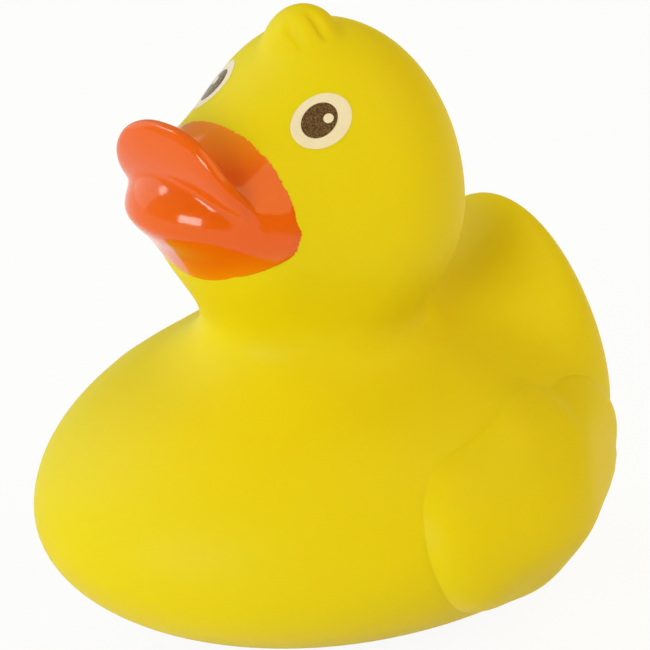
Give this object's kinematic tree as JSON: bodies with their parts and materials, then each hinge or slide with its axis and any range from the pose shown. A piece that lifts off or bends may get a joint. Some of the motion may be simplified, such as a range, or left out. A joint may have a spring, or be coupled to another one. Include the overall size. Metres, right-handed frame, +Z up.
{
  "type": "toy duck",
  "caption": "Squishy toy duck: a hollow soft-vinyl moulding with folded wings, an upturned tail, a tuft and a painted open bill, standing on a flat foot.",
  "frame": {"origin": "on the floor at the middle of the flat foot's length axis, straight below the middle of the body", "axes": "+Z up, +X towards the duck's left, and the bill faces -Y"},
  "size_m": [0.0678, 0.0786, 0.0768],
  "materials": {
    "yellow_vinyl": "satin",
    "orange_paint": "gloss",
    "eye_print": "satin"
  },
  "bodies": {
    "root": {"duck_moulding": "yellow_vinyl"}
  },
  "joints": []
}
